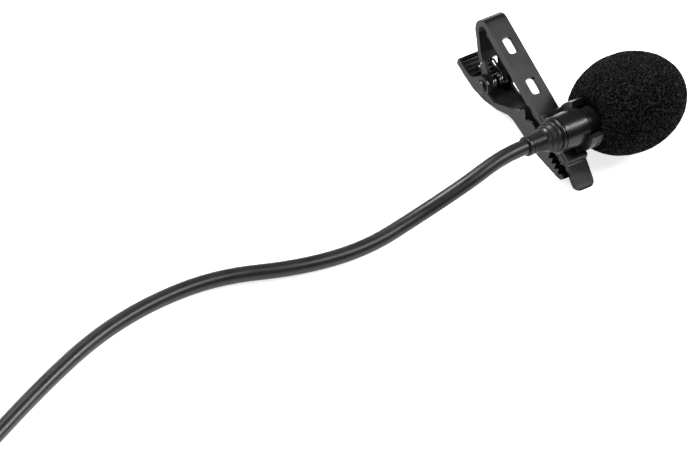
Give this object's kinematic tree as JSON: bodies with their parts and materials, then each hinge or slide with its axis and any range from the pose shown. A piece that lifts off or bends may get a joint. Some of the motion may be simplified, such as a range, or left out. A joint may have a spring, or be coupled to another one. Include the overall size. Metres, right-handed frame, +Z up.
{
  "type": "lavalier microphone",
  "caption": "Clip-on lavalier microphone: a foam-covered capsule in a sprung tie clip, with a strain relief and a lead to a 3.5 mm plug.",
  "frame": {"origin": "on the table, at the centre of the box of the microphone, clip and windscreen without the lead", "axes": "+X along the microphone's axis towards the foam, +Z up from the table it lies on, +Y towards the clip's bend"},
  "size_m": [0.2674, 0.0747, 0.0224],
  "materials": {
    "clip_plastic": "satin black moulded nylon",
    "pin_steel": "blackened steel",
    "spring_steel": "bright drawn wire",
    "shell_black": "satin black",
    "boot_rubber": "satin black moulded rubber",
    "cable_jacket": "satin black jacket",
    "foam": "open-cell foam, matt black",
    "mesh_steel": "woven wire",
    "felt": "dark felt",
    "capsule_aluminium": "drawn aluminium",
    "film": "metallised film",
    "brass": "plain brass",
    "white_plastic": "natural moulded plastic",
    "board_green": "solder mask",
    "chip_black": "moulded",
    "sleeve_rubber": "soft rubber",
    "wire_red": "insulated wire",
    "wire_black": "insulated wire",
    "crimp_steel": "crimped",
    "plug_gold": "gold-plated",
    "plug_rubber": "satin black moulded grip",
    "insulator_black": "black insulator",
    "tie_fabric": "hook-and-loop strap"
  },
  "bodies": {
    "mic_head": {"rear_cap": "shell_black", "mic_barrel": "shell_black", "front_housing": "shell_black", "grille_cap": "shell_black", "grille_mesh": "mesh_steel", "dust_felt": "felt", "capsule_sleeve": "sleeve_rubber", "capsule_can": "capsule_aluminium", "diaphragm_ring": "brass", "diaphragm": "film", "spacer_ring": "white_plastic", "backplate": "brass", "insulating_cup": "white_plastic", "contact_ring": "brass", "capsule_board": "board_green", "fet_chip": "chip_black", "signal_wire": "wire_red", "ground_wire": "wire_black", "cable_clamp": "crimp_steel", "cable_inner_end": "cable_jacket", "strain_relief": "boot_rubber", "cable_run": "cable_jacket", "cable_coil": "cable_jacket", "cable_tail": "cable_jacket", "coil_tie": "tie_fabric", "plug_relief": "plug_rubber", "plug_grip": "plug_rubber", "plug_sleeve_contact": "plug_gold", "plug_ring_contact": "plug_gold", "plug_tip_contact": "plug_gold", "plug_insulator": "insulator_black"},
    "clip": {"clip_frame": "clip_plastic", "pivot_pin": "pin_steel", "torsion_spring": "spring_steel"},
    "lever": {"clip_jaw": "clip_plastic"},
    "windscreen": {"foam_windscreen": "foam"}
  },
  "joints": [
    {"name": "clip_turn", "type": "hinge", "parent": "mic_head", "child": "clip", "pos_m": [-0.0087, -0.01141, 0.0106], "axis": [1, 0, 0], "continuous": true},
    {"name": "jaw_pivot", "type": "hinge", "parent": "clip", "child": "lever", "pos_m": [-0.0087, 0.01352, 0.00251], "axis": [1, 0, 0], "range_deg": [0, 28], "stiffness_Nm_per_rad": 0.03, "springref_deg": -40.11, "deforming": ["torsion_spring"]},
    {"name": "windscreen_pull", "type": "slide", "parent": "mic_head", "child": "windscreen", "axis": [1, 0, 0], "range_m": [0, 0.016]}
  ]
}
